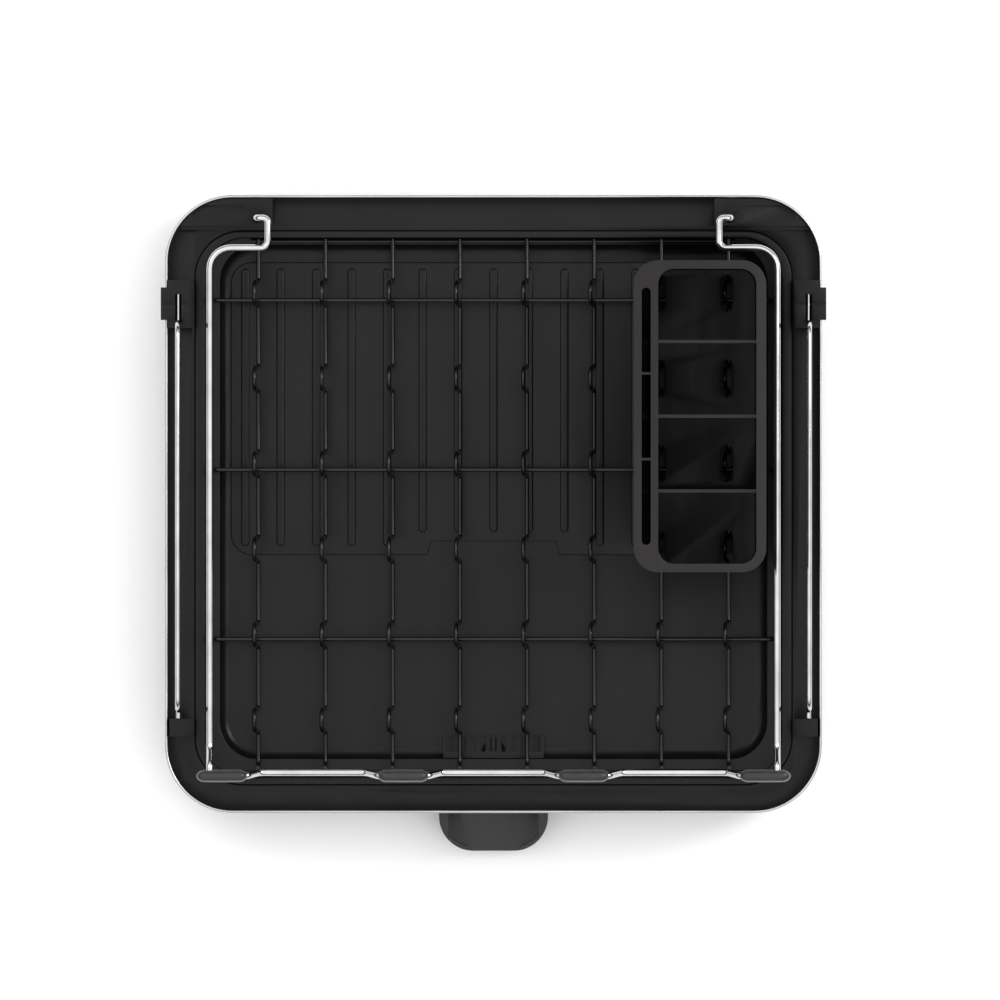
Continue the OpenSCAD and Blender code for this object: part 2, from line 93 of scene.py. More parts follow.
class NodeSheet:
    """A short way to lay out a material's nodes."""

    def __init__(self, name: str) -> None:
        """Start an empty material.

        Args:
            name: The material's name.
        """
        self.material = bpy.data.materials.new(name)
        self.material.use_nodes = True
        self.tree = self.material.node_tree
        self.tree.nodes.clear()
        self.shader = self.add("ShaderNodeBsdfPrincipled")
        output = self.add("ShaderNodeOutputMaterial")
        self.join(self.shader, "BSDF", output, "Surface")

    def add(self, kind: str, **settings: object) -> bpy.types.Node:
        """Add a node and set its properties.

        Args:
            kind: The node's type name.
            **settings: Properties of the node.

        Returns:
            The new node.
        """
        node = self.tree.nodes.new(kind)
        for key, value in settings.items():
            setattr(node, key, value)
        return node

    def join(self, giver: bpy.types.Node, out: str, taker: bpy.types.Node, into: str) -> None:
        """Link an output of one node to an input of another.

        Args:
            giver: The node that gives.
            out: Its output's name.
            taker: The node that takes.
            into: Its input's name.
        """
        self.tree.links.new(giver.outputs[out], taker.inputs[into])

    def place(self, scale: Triple) -> bpy.types.Node:
        """Object coordinates through a Mapping node.

        Args:
            scale: How many pattern units go to a metre, per axis.

        Returns:
            The Mapping node.
        """
        coordinates = self.add("ShaderNodeTexCoord")
        mapping = self.add("ShaderNodeMapping")
        mapping.inputs["Scale"].default_value = scale
        self.join(coordinates, "Object", mapping, "Vector")
        return mapping

    def noise(self, scale: Triple, detail: float = 3.0) -> bpy.types.Node:
        """A noise texture on Object coordinates.

        Args:
            scale: Pattern units to a metre, per axis.
            detail: Octaves of the noise.

        Returns:
            The noise node.
        """
        texture = self.add("ShaderNodeTexNoise")
        texture.inputs["Scale"].default_value = 1.0
        texture.inputs["Detail"].default_value = detail
        self.join(self.place(scale), "Vector", texture, "Vector")
        return texture

    def ramp(self, source: bpy.types.Node, low: Sequence[float], high: Sequence[float],
             start: float = 0.3, end: float = 0.7) -> bpy.types.Node:
        """Spread a texture's value between two colours.

        Args:
            source: The texture node.
            low: Colour at the start.
            high: Colour at the end.
            start: Value that gives the low colour.
            end: Value that gives the high colour.

        Returns:
            The ramp node.
        """
        ramp = self.add("ShaderNodeValToRGB")
        ramp.color_ramp.elements[0].position = start
        ramp.color_ramp.elements[0].color = (*low, 1.0)
        ramp.color_ramp.elements[1].position = end
        ramp.color_ramp.elements[1].color = (*high, 1.0)
        self.join(source, "Fac", ramp, "Fac")
        return ramp

    def bump(self, source: bpy.types.Node, strength: float, height: float,
             under: bpy.types.Node | None = None) -> bpy.types.Node:
        """Turn a texture's value into surface relief.

        Args:
            source: The texture node.
            strength: How strong the relief is.
            height: Relief height in metres.
            under: A bump node that this one lies on.

        Returns:
            The bump node.
        """
        node = self.add("ShaderNodeBump")
        node.inputs["Strength"].default_value = strength
        node.inputs["Distance"].default_value = height
        self.join(source, "Fac", node, "Height")
        if under is not None:
            self.join(under, "Normal", node, "Normal")
        return node


def grey(value: float) -> Triple:
    """The neutral colour of that value."""
    return (value, value, value)


@dataclass(frozen=True)
class MouldedPlastic:
    """Black moulded plastic with a spark-eroded surface and faint flow marks.

    Args:
        name: The material's name.
        dark: Colour of the darker patches.
        light: Colour of the lighter patches.
        rough: Roughness of the smoother patches.
        rougher: Roughness of the duller patches.
        shine: Specular level of the plastic.
        grain: Depth of the surface texture in metres.
    """

    name: str
    dark: Triple
    light: Triple
    rough: float = 0.28
    rougher: float = 0.4
    shine: float = 0.17
    grain: float = 0.06 * MM

    def build(self) -> bpy.types.Material:
        """Lay out the finish's nodes.

        Returns:
            The material.
        """
        sheet = NodeSheet(self.name)
        broad = sheet.noise((14, 9, 14), detail=4)
        warp = sheet.noise((11, 11, 11), detail=0)
        fine = sheet.noise((1500, 1500, 1500), detail=2)
        wipe = sheet.noise((70, 12, 70), detail=5)
        sheet.join(sheet.ramp(broad, self.dark, self.light), "Color", sheet.shader, "Base Color")
        rough = sheet.ramp(wipe, grey(self.rough), grey(self.rougher), start=0.35, end=0.68)
        sheet.join(rough, "Color", sheet.shader, "Roughness")
        swell = sheet.bump(warp, strength=0.1, height=0.4 * MM)
        skin = sheet.bump(fine, strength=0.5, height=self.grain, under=swell)
        sheet.join(skin, "Normal", sheet.shader, "Normal")
        sheet.shader.inputs["Specular IOR Level"].default_value = self.shine
        return sheet.material


@dataclass(frozen=True)
class BrushedSteel:
    """Stainless steel with fine level brushing and a few longer scratches."""

    name: str = "brushed_band_steel"
    dark: Triple = (0.33, 0.33, 0.335)
    light: Triple = (0.5, 0.5, 0.505)

    def build(self) -> bpy.types.Material:
        """Lay out the finish's nodes.

        Returns:
            The material.
        """
        sheet = NodeSheet(self.name)
        brush = sheet.noise((25, 25, 5200), detail=4)
        scratch = sheet.noise((9, 9, 900), detail=6)
        cloud = sheet.noise((18, 18, 10), detail=3)
        colour = sheet.ramp(brush, self.dark, self.light, start=0.25, end=0.75)
        sheet.join(colour, "Color", sheet.shader, "Base Color")
        sheet.join(sheet.ramp(cloud, grey(0.2), grey(0.32)), "Color", sheet.shader, "Roughness")
        lines = sheet.bump(brush, strength=0.22, height=0.03 * MM)
        relief = sheet.bump(scratch, strength=0.12, height=0.05 * MM, under=lines)
        sheet.join(relief, "Normal", sheet.shader, "Normal")
        sheet.shader.inputs["Metallic"].default_value = 1.0
        sheet.shader.inputs["Anisotropic"].default_value = 0.45
        return sheet.material


@dataclass(frozen=True)
class PolishedWire:
    """Polished steel wire with faint drawing lines and water marks."""

    name: str = "polished_rail_steel"
    dark: Triple = (0.4, 0.4, 0.405)
    light: Triple = (0.53, 0.53, 0.535)

    def build(self) -> bpy.types.Material:
        """Lay out the finish's nodes.

        Returns:
            The material.
        """
        sheet = NodeSheet(self.name)
        marks = sheet.noise((60, 60, 60), detail=5)
        drawn = sheet.noise((900, 900, 900), detail=3)
        sheet.join(sheet.ramp(marks, self.dark, self.light), "Color", sheet.shader, "Base Color")
        sheet.join(sheet.ramp(marks, grey(0.06), grey(0.14)), "Color", sheet.shader, "Roughness")
        relief = sheet.bump(drawn, strength=0.12, height=0.02 * MM)
        sheet.join(relief, "Normal", sheet.shader, "Normal")
        sheet.shader.inputs["Metallic"].default_value = 1.0
        return sheet.material


@dataclass(frozen=True)
class CoatedWire:
    """Black powder coat with orange-peel relief, slightly worn where dishes rub."""

    name: str = "black_wire_coat"
    dark: Triple = (0.003, 0.003, 0.003)
    light: Triple = (0.008, 0.0075, 0.0075)

    def build(self) -> bpy.types.Material:
        """Lay out the finish's nodes.

        Returns:
            The material.
        """
        sheet = NodeSheet(self.name)
        peel = sheet.noise((700, 700, 700), detail=2)
        worn = sheet.noise((45, 45, 45), detail=5)
        colour = sheet.ramp(worn, self.dark, self.light, start=0.4, end=0.75)
        sheet.join(colour, "Color", sheet.shader, "Base Color")
        sheet.join(sheet.ramp(worn, grey(0.14), grey(0.26)), "Color", sheet.shader, "Roughness")
        relief = sheet.bump(peel, strength=0.35, height=0.06 * MM)
        sheet.join(relief, "Normal", sheet.shader, "Normal")
        sheet.shader.inputs["Specular IOR Level"].default_value = 0.3
        return sheet.material


@dataclass(frozen=True)
class Rubber:
    """Soft matte rubber or silicone with a dusty sheen.

    Args:
        name: The material's name.
        dark: Colour of the darker patches.
        light: Colour of the lighter patches.
        rough: Roughness of the cleaner patches.
        dusty: How much rougher the dusty patches are.
    """

    name: str
    dark: Triple
    light: Triple
    rough: float = 0.45
    dusty: float = 0.16

    def build(self) -> bpy.types.Material:
        """Lay out the finish's nodes.

        Returns:
            The material.
        """
        sheet = NodeSheet(self.name)
        dust = sheet.noise((160, 160, 160), detail=5)
        skin = sheet.noise((2600, 2600, 2600), detail=2)
        sheet.join(sheet.ramp(dust, self.dark, self.light), "Color", sheet.shader, "Base Color")
        rough = sheet.ramp(dust, grey(self.rough), grey(self.rough + self.dusty))
        sheet.join(rough, "Color", sheet.shader, "Roughness")
        relief = sheet.bump(skin, strength=0.4, height=0.04 * MM)
        sheet.join(relief, "Normal", sheet.shader, "Normal")
        sheet.shader.inputs["Sheen Weight"].default_value = 0.25
        sheet.shader.inputs["Specular IOR Level"].default_value = 0.4
        return sheet.material


FINISHES = {
    Slot.STEEL: BrushedSteel(),
    Slot.BRIGHT: PolishedWire(),
    Slot.BLACK_WIRE: CoatedWire(),
    Slot.BASE: MouldedPlastic("base_black", (0.0022, 0.0019, 0.0018), (0.0042, 0.0036, 0.0034)),
    Slot.TRAY: MouldedPlastic("tray_black", (0.0034, 0.0029, 0.0028), (0.0058, 0.005, 0.0048)),
    Slot.SPOUT: MouldedPlastic("spout_black", (0.009, 0.0075, 0.007), (0.014, 0.0118, 0.011),
                               rough=0.24, rougher=0.32, shine=0.36),
    Slot.CADDY: MouldedPlastic("caddy_charcoal", (0.009, 0.0078, 0.0075), (0.0135, 0.0118, 0.0114),
                               rough=0.36, rougher=0.48, shine=0.2),
    Slot.SILICONE: Rubber("grip_charcoal", (0.008, 0.0068, 0.0065), (0.014, 0.012, 0.0115), rough=0.3),
    Slot.PAD: Rubber("pad_black", (0.012, 0.012, 0.012), (0.024, 0.023, 0.023), rough=0.6),
    Slot.SCREW: PolishedWire("plated_screw", (0.36, 0.36, 0.36), (0.48, 0.48, 0.48)),
}


class Dresser:
    """Makes each finish once and gives pieces their slot's finish and their body."""

    def __init__(self) -> None:
        """Build every finish."""
        self.materials = {slot: finish.build() for slot, finish in FINISHES.items()}

    def coat(self, piece: bpy.types.Object, slot: Slot) -> None:
        """Give a piece that slot's finish and no other."""
        piece.data.materials.clear()
        piece.data.materials.append(self.materials[slot])

    def node(self, name: str, slot: Slot) -> None:
        """Give a CAD node its finish.

        Args:
            name: The node's name.
            slot: The slot it takes its finish from.
        """
        self.coat(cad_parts[name], slot)
        log.info("node %s: %s", name, slot.value)

    def piece(self, piece: bpy.types.Object, slot: Slot, body: Body, node: str) -> None:
        """Give a new piece its finish and tie it to the frame.

        Args:
            piece: The new piece.
            slot: The slot it takes its finish from.
            body: The body it rides on.
            node: The CAD node it stands for.
        """
        self.coat(piece, slot)
        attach(piece, body.value)
        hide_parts(node)
        log.info("piece %s: %d faces", piece.name, len(piece.data.polygons))


class Bench:
    """Modelling moves that every piece is made with."""

    MERGE = 0.02 * MM
    FLAT = math.radians(0.8)

    @staticmethod
    def clear() -> None:
        """Leave edit mode and deselect everything."""
        if bpy.context.mode != "OBJECT":
            bpy.ops.object.mode_set(mode="OBJECT")
        bpy.ops.object.select_all(action="DESELECT")

    @staticmethod
    def pick(piece: bpy.types.Object) -> None:
        """Make a piece the only selected and active one.

        Args:
            piece: The piece.
        """
        Bench.clear()
        piece.select_set(True)
        bpy.context.view_layer.objects.active = piece

    @staticmethod
    def plate(name: str, width: float, depth: float, centre: Vector, radius: float,
              segments: int = 12) -> bpy.types.Object:
        """A flat plate with round corners, left in edit mode with its face selected.

        Args:
            name: The piece's name.
            width: Size along X.
            depth: Size along Y.
            centre: Middle of the plate.
            radius: Corner radius.
            segments: Facets in each corner.

        Returns:
            The plate.
        """
        Bench.clear()
        bpy.ops.mesh.primitive_plane_add(size=1.0, location=centre)
        piece = bpy.context.active_object
        piece.name = name
        bpy.ops.object.mode_set(mode="EDIT")
        bpy.ops.transform.resize(value=(width, depth, 1.0))
        bpy.ops.mesh.bevel(offset=radius, offset_pct=0, segments=segments, affect="VERTICES", profile=0.5)
        bpy.ops.mesh.select_all(action="SELECT")
        return piece

    @staticmethod
    def push(x: float = 0.0, y: float = 0.0, z: float = 0.0) -> None:
        """Extrude what is selected by that much."""
        bpy.ops.mesh.extrude_region_move(TRANSFORM_OT_translate={"value": (x, y, z)})

    @staticmethod
    def choose(piece: bpy.types.Object, kind: Part, test: Callable[[Vector, Vector], bool]) -> None:
        """Select faces, edges or vertices by their place and normal.

        Args:
            piece: The piece in edit mode.
            kind: What is selected.
            test: Takes a middle and a normal, and says whether it is wanted. Both ends of an edge
                have to pass.
        """
        bpy.ops.mesh.select_mode(type=kind.value)
        bpy.ops.mesh.select_all(action="DESELECT")
        bpy.ops.object.mode_set(mode="OBJECT")
        mesh, matrix = piece.data, piece.matrix_world
        corners = [matrix @ v.co for v in mesh.vertices]
        if kind is Part.FACE:
            for face in mesh.polygons:
                face.select = test(matrix @ face.center, face.normal)
        elif kind is Part.EDGE:
            for edge in mesh.edges:
                edge.select = all(test(corners[i], Vector()) for i in edge.vertices)
        else:
            for vertex in mesh.vertices:
                vertex.select = test(corners[vertex.index], vertex.normal)
        bpy.ops.object.mode_set(mode="EDIT")

    @staticmethod
    def modify(piece: bpy.types.Object, kind: str, **settings: object) -> None:
        """Add a modifier, set it and apply it.

        Args:
            piece: The piece.
            kind: The modifier's type.
            **settings: Its properties.
        """
        Bench.pick(piece)
        modifier = piece.modifiers.new(kind.title(), kind)
        for key, value in settings.items():
            setattr(modifier, key, value)
        bpy.ops.object.modifier_apply(modifier=modifier.name)

    @staticmethod
    def round_edges(piece: bpy.types.Object, width: float, segments: int = 3, angle: float = 35.0) -> None:
        """Round every edge sharper than the angle, in degrees."""
        Bench.modify(piece, "BEVEL", width=width, segments=segments, limit_method="ANGLE",
                     angle_limit=math.radians(angle), use_clamp_overlap=True, harden_normals=False)

    @staticmethod
    def finish(piece: bpy.types.Object, outward: bool = False) -> bpy.types.Object:
        """Apply a piece's place, close it and shade it.

        Args:
            piece: The piece.
            outward: Whether its normals are worked out again.

        Returns:
            The piece.
        """
        Bench.pick(piece)
        bpy.ops.object.transform_apply(location=True, rotation=True, scale=True)
        if outward:
            bpy.ops.object.mode_set(mode="EDIT")
            bpy.ops.mesh.select_all(action="SELECT")
            bpy.ops.mesh.normals_make_consistent(inside=False)
            bpy.ops.object.mode_set(mode="OBJECT")
        bpy.ops.object.shade_smooth_by_angle(angle=SMOOTH_ANGLE)
        Bench.clear()
        return piece

    @staticmethod
    def copy(piece: bpy.types.Object, shift: Vector) -> bpy.types.Object:
        """Copy a piece and its mesh.

        Args:
            piece: The piece.
            shift: How far the copy is moved.

        Returns:
            The copy, with a mesh of its own.
        """
        Bench.pick(piece)
        bpy.ops.object.duplicate(linked=False)
        twin = bpy.context.active_object
        twin.location += shift
        return twin

    @staticmethod
    def fuse(pieces: list[bpy.types.Object]) -> bpy.types.Object:
        """Join several pieces into the first.

        Args:
            pieces: The pieces.

        Returns:
            The first piece, with the others in its mesh.
        """
        Bench.pick(pieces[0])
        for piece in pieces[1:]:
            piece.select_set(True)
        bpy.ops.object.join()
        return pieces[0]

    @staticmethod
    def cut(piece: bpy.types.Object, tool: bpy.types.Object) -> None:
        """Cut a tool's shape out of a piece, and remove the tool."""
        Bench.modify(piece, "BOOLEAN", operation="DIFFERENCE", object=tool, solver="EXACT")
        bpy.data.objects.remove(tool)

    @staticmethod
    def soften(node: str, width: float, segments: int = 2, angle: float = 40.0) -> bpy.types.Object:
        """A merged copy of a CAD node with its sharp edges rounded.

        Args:
            node: The node's name.
            width: Width of the rounding.
            segments: Facets across the rounding.
            angle: Edges sharper than this are rounded, in degrees.

        Returns:
            The new piece, at the node's place.
        """
        piece = bpy.data.objects.new(node + "_body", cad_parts[node].data.copy())
        bpy.context.scene.collection.objects.link(piece)
        Bench.pick(piece)
        bpy.ops.object.mode_set(mode="EDIT")
        bpy.ops.mesh.select_all(action="SELECT")
        bpy.ops.mesh.remove_doubles(threshold=Bench.MERGE)
        bpy.ops.mesh.dissolve_limited(angle_limit=Bench.FLAT)
        bpy.ops.object.mode_set(mode="OBJECT")
        Bench.round_edges(piece, width, segments, angle)
        return Bench.finish(piece)


@dataclass(frozen=True)
class RodBender:
    """Bends a round rod: a disc is pushed along each straight and spun round each corner.

    Args:
        radius: Radius of the rod.
        sides: Facets round the rod.
        steps: Facets along a bend.
    """

    radius: float
    sides: int
    steps: int = 6

    def bend(self, name: str, route: Sequence[Vector], trims: Sequence[float]) -> bpy.types.Object:
        """Bend the rod along a route.

        Args:
            name: The piece's name.
            route: The rod's ends and corners.
            trims: How far from each corner its bend begins; 0 at the ends.

        Returns:
            The closed rod.
        """
        Bench.clear()
        first = (route[1] - route[0]).normalized()
        bpy.ops.mesh.primitive_circle_add(
            vertices=self.sides, radius=self.radius, fill_type="NGON", location=route[0],
            rotation=first.to_track_quat("Z", "Y").to_euler())
        piece = bpy.context.active_object
        piece.name = name
        bpy.ops.object.mode_set(mode="EDIT")
        bpy.ops.mesh.select_all(action="SELECT")
        for i in range(1, len(route)):
            leg = route[i] - route[i - 1]
            straight = leg.length - trims[i - 1] - trims[i]
            if straight > TINY:
                step = leg.normalized() * straight
                Bench.push(step.x, step.y, step.z)
            if i < len(route) - 1:
                self.turn(route[i - 1], route[i], route[i + 1], trims[i])
        bpy.ops.object.mode_set(mode="OBJECT")
        return Bench.finish(piece, outward=True)

    def turn(self, before: Vector, corner: Vector, after: Vector, trim: float) -> None:
        """Spin the selected disc round one corner.

        Args:
            before: The point before the corner.
            corner: The corner.
            after: The point after it.
            trim: How far from the corner the bend begins.
        """
        go, on = (corner - before).normalized(), (after - corner).normalized()
        angle = go.angle(on)
        inward = (on - go * go.dot(on)).normalized()
        centre = corner - go * trim + inward * (trim / math.tan(angle / 2))
        bpy.ops.mesh.spin(steps=self.steps, angle=-angle, center=centre, axis=go.cross(on).normalized())


def band_middle() -> float:
    """The middle of the steel band, front to back."""
    low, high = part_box("steel_band")
    return (low.y + high.y) / 2


@dataclass
class SteelBand:
    """The steel band round the base: a thin wall with a rolled upper edge."""

    dresser: Dresser
    corner: float = 39 * MM
    wall: float = 1.6 * MM
    roll: float = 0.75 * MM

    def build(self) -> None:
        """Make the wall from the outline and give it its thickness."""
        low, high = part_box("steel_band")
        centre = Vector(((low.x + high.x) / 2, (low.y + high.y) / 2, low.z))
        size = high - low
        piece = Bench.plate("steel_band_wall", size.x, size.y, centre, self.corner, segments=20)
        Bench.push(z=high.z - low.z)
        Bench.choose(piece, Part.FACE, lambda middle, normal: abs(normal.z) > 0.9)
        bpy.ops.mesh.delete(type="FACE")
        bpy.ops.mesh.select_all(action="SELECT")
        bpy.ops.mesh.normals_make_consistent(inside=False)
        bpy.ops.object.mode_set(mode="OBJECT")
        Bench.modify(piece, "SOLIDIFY", thickness=self.wall, offset=-1.0, use_even_offset=True)
        Bench.round_edges(piece, self.roll, segments=4, angle=60)
        self.dresser.piece(Bench.finish(piece), Slot.STEEL, Body.BASE, "steel_band")


@dataclass
class BaseParts:
    """The base with its blocks, feet, clips and brackets."""

    dresser: Dresser
    shell_round: float = 0.6 * MM
    small_round: float = 0.5 * MM
    holder_round: float = 0.2 * MM
    blocks: tuple[str, ...] = ("corner_block_left", "corner_block_right")
    holders: tuple[str, ...] = (
        "loop_clip_left", "loop_clip_right", "loop_bracket_left", "loop_bracket_right")
    feet: tuple[str, ...] = ("foot_front_left", "foot_front_right", "foot_back_left", "foot_back_right")

    def build(self) -> None:
        """Round the mouldings and dress what stays."""
        for nodes, width in ((("base_shell",), self.shell_round), (self.blocks, self.small_round),
                             (self.holders, self.holder_round), (self.feet, self.shell_round)):
            for node in nodes:
                self.dresser.piece(Bench.soften(node, width), Slot.BASE, Body.BASE, node)
        pads = Bench.soften("foot_pads", self.small_round)
        self.dresser.piece(pads, Slot.PAD, Body.BASE, "foot_pads")
        self.dresser.node("foot_screws", Slot.SCREW)


@dataclass
class DripTray:
    """The lift-out tray: a deep tub with a ribbed panel, and the strainer over its drain."""

    dresser: Dresser
    middle: float = field(default_factory=band_middle)
    corner: float = 27 * MM
    wall: float = 2 * MM
    pocket_inset: float = 4.5 * MM
    pocket_w: float = 333 * MM
    pocket_d: float = 311.7 * MM
    pan_w: float = 316 * MM
    pan_d: float = 297 * MM
    pan_shift: float = 3.5 * MM
    pan_h: float = 7 * MM
    pan_taper: float = 0.992
    floor_z: float = 40 * MM
    floor_round: float = 5 * MM
    edge_round: float = 0.8 * MM
    panel_w: float = 303.6 * MM
    panel_back: float = 139.7 * MM
    panel_front: float = -29.4 * MM
    panel_h: float = 1 * MM
    panel_corner: float = 12 * MM
    panel_round: float = 0.9 * MM
    notch_w: float = 88 * MM
    notch_l: float = 8 * MM
    cutter: float = 20 * MM
    rib_count: int = 15
    rib_pitch: float = 20.5 * MM
    rib_w: float = 4.8 * MM
    rib_h: float = 1 * MM
    rib_round: float = 0.98 * MM
    rib_end: float = 0.49
    rib_front: float = 5 * MM
    rib_back: float = 3.5 * MM
    sunk: float = 0.2 * MM
    drain_r: float = 7 * MM
    drain_cut: float = 30 * MM
    stub_r: float = 9 * MM
    pipe_sides: int = 40
    bar_gap: float = 1 * MM
    grate_round: float = 0.3 * MM

    def build(self) -> None:
        """Make the tub, its panel and ribs, the drain and the strainer."""
        low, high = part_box("drip_tray")
        tub = self.tub(low, high)
        pipe = self.drain(tub, low)
        tray = Bench.fuse([tub, pipe, self.panel(), *self.ribs()])
        self.dresser.piece(Bench.finish(tray), Slot.TRAY, Body.TRAY, "drip_tray")
        grate = Bench.soften("drain_grate", self.grate_round)
        self.dresser.piece(grate, Slot.TRAY, Body.TRAY, "drain_grate")

    def tub(self, low: Vector, high: Vector) -> bpy.types.Object:
        """The tub's sheet, sunk in two steps and given its wall.

        Args:
            low: The tray's lowest corner.
            high: The tray's highest corner.

        Returns:
            The tub.
        """
        width, depth = high.x - low.x, high.y - low.y
        centre = Vector((0.0, (low.y + high.y) / 2, high.z))
        piece = Bench.plate("drip_tray_tub", width, depth, centre, self.corner)
        bpy.ops.mesh.inset(thickness=self.pocket_inset, depth=0.0)
        inner = (width - 2 * self.pocket_inset, depth - 2 * self.pocket_inset)
        bpy.ops.transform.resize(value=(self.pocket_w / inner[0], self.pocket_d / inner[1], 1.0))
        ledge_z = self.floor_z + self.pan_h
        Bench.push(z=ledge_z - high.z)
        Bench.push()
        bpy.ops.transform.resize(value=(self.pan_w / self.pocket_w, self.pan_d / self.pocket_d, 1.0))
        bpy.ops.transform.translate(value=(0.0, self.pan_shift, 0.0))
        Bench.push(z=-self.pan_h)
        bpy.ops.transform.resize(value=(self.pan_taper, self.pan_taper, 1.0))
        Bench.choose(piece, Part.EDGE, lambda place, _: abs(place.z - self.floor_z) < NEAR)
        bpy.ops.mesh.bevel(offset=self.floor_round, offset_pct=0, segments=5, affect="EDGES")
        bpy.ops.object.mode_set(mode="OBJECT")
        Bench.modify(piece, "SOLIDIFY", thickness=self.wall, offset=-1.0, use_even_offset=True)
        Bench.round_edges(piece, self.edge_round, angle=50)
        return piece

    def panel(self) -> bpy.types.Object:
        """The raised panel with a notch in the middle of its front edge.

        Returns:
            The panel.
        """
        depth = self.panel_back - self.panel_front
        middle = self.middle + (self.panel_back + self.panel_front) / 2
        centre = Vector((0.0, middle, self.floor_z - self.sunk))
        piece = Bench.plate("tray_panel", self.panel_w, depth, centre, self.panel_corner, segments=6)
        Bench.push(z=self.panel_h + self.sunk)
        bpy.ops.object.mode_set(mode="OBJECT")
        front = centre.y - depth / 2
        Bench.clear()
        place = (0.0, front + (self.notch_l - self.cutter) / 2, self.floor_z)
        bpy.ops.mesh.primitive_cube_add(size=1.0, location=place)
        tool = bpy.context.active_object
        bpy.ops.object.mode_set(mode="EDIT")
        bpy.ops.transform.resize(value=(self.notch_w, self.notch_l + self.cutter, self.cutter))
        Bench.choose(tool, Part.VERT, lambda place, _: place.y > front)
        bpy.ops.transform.resize(value=(1 - 2 * self.notch_l / self.notch_w, 1.0, 1.0))
        bpy.ops.object.mode_set(mode="OBJECT")
        Bench.cut(piece, tool)
        Bench.round_edges(piece, self.panel_round, segments=4, angle=50)
        Bench.pick(piece)
        bpy.ops.object.transform_apply(location=True, rotation=True, scale=True)
        return piece

    def ribs(self) -> list[bpy.types.Object]:
        """The drainage ribs, each a rounded bar; the ones behind the notch are shorter.

        Returns:
            The ribs, from left to right.
        """
        made: list[bpy.types.Object] = []
        patterns: dict[bool, tuple[bpy.types.Object, float]] = {}
        for i in range(self.rib_count):
            x = (i - (self.rib_count - 1) / 2) * self.rib_pitch
            short = abs(x) < self.notch_w / 2
            if short in patterns:
                pattern, pattern_x = patterns[short]
                made.append(Bench.copy(pattern, Vector((x - pattern_x, 0.0, 0.0))))
            else:
                made.append(self.rib(short, x))
                patterns[short] = (made[-1], x)
        return made

    def rib(self, short: bool, x: float) -> bpy.types.Object:
        """One rib.

        Args:
            short: Whether it stops behind the notch.
            x: Its place left to right.

        Returns:
            The rib.
        """
        front = self.panel_front + self.rib_front + (self.notch_l if short else 0.0)
        back = self.panel_back - self.rib_back
        base = self.floor_z + self.panel_h - self.sunk
        centre = Vector((x, self.middle + (front + back) / 2, base))
        end = self.rib_w * self.rib_end
        piece = Bench.plate("tray_rib", self.rib_w, back - front, centre, end, segments=5)
        Bench.push(z=self.rib_h + self.sunk)
        top = base + self.rib_h + self.sunk
        Bench.choose(piece, Part.EDGE, lambda place, _: abs(place.z - top) < NEAR)
        bpy.ops.mesh.bevel(offset=self.rib_round, offset_pct=0, segments=4, affect="EDGES")
        bpy.ops.object.mode_set(mode="OBJECT")
        return piece

    def drain(self, tub: bpy.types.Object, low: Vector) -> bpy.types.Object:
        """Cut the drain through the tub's floor, and make the pipe under it.

        Args:
            tub: The tub.
            low: The tray's lowest corner.

        Returns:
            The pipe.
        """
        ring_low, ring_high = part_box("spout_ring")
        place = Vector((0.0, (ring_low.y + ring_high.y) / 2, self.floor_z))
        Bench.clear()
        bpy.ops.mesh.primitive_cylinder_add(vertices=self.pipe_sides, radius=self.drain_r,
                                            depth=self.drain_cut, location=place)
        tool = bpy.context.active_object
        bpy.ops.object.mode_set(mode="EDIT")
        bpy.ops.mesh.select_all(action="SELECT")
        grate_low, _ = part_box("drain_grate")
        bpy.ops.mesh.bisect(plane_co=(0.0, grate_low.y + self.bar_gap, 0.0), plane_no=(0.0, 1.0, 0.0),
                            use_fill=True, clear_inner=True)
        bpy.ops.object.mode_set(mode="OBJECT")
        Bench.cut(tub, tool)
        Bench.clear()
        bpy.ops.mesh.primitive_circle_add(vertices=self.pipe_sides, radius=self.stub_r, fill_type="NGON",
                                          location=(place.x, place.y, self.floor_z - self.wall))
        pipe = bpy.context.active_object
        bpy.ops.object.mode_set(mode="EDIT")
        bpy.ops.mesh.inset(thickness=self.stub_r - self.drain_r, depth=0.0)
        bpy.ops.mesh.delete(type="FACE")
        bpy.ops.mesh.select_all(action="SELECT")
        Bench.push(z=low.z - self.floor_z + self.wall)
        bpy.ops.mesh.select_all(action="SELECT")
        bpy.ops.mesh.normals_make_consistent(inside=False)
        bpy.ops.object.mode_set(mode="OBJECT")
        return pipe


@dataclass
class Spout:
    """The swivelling gutter and its snap ring."""

    dresser: Dresser
    lip_round: float = 1 * MM

    def build(self) -> None:
        """Round the gutter's lips and dress the ring."""
        piece = Bench.soften("spout", self.lip_round, segments=4, angle=45)
        self.dresser.piece(piece, Slot.SPOUT, Body.SPOUT, "spout")
        self.dresser.node("spout_ring", Slot.BASE)


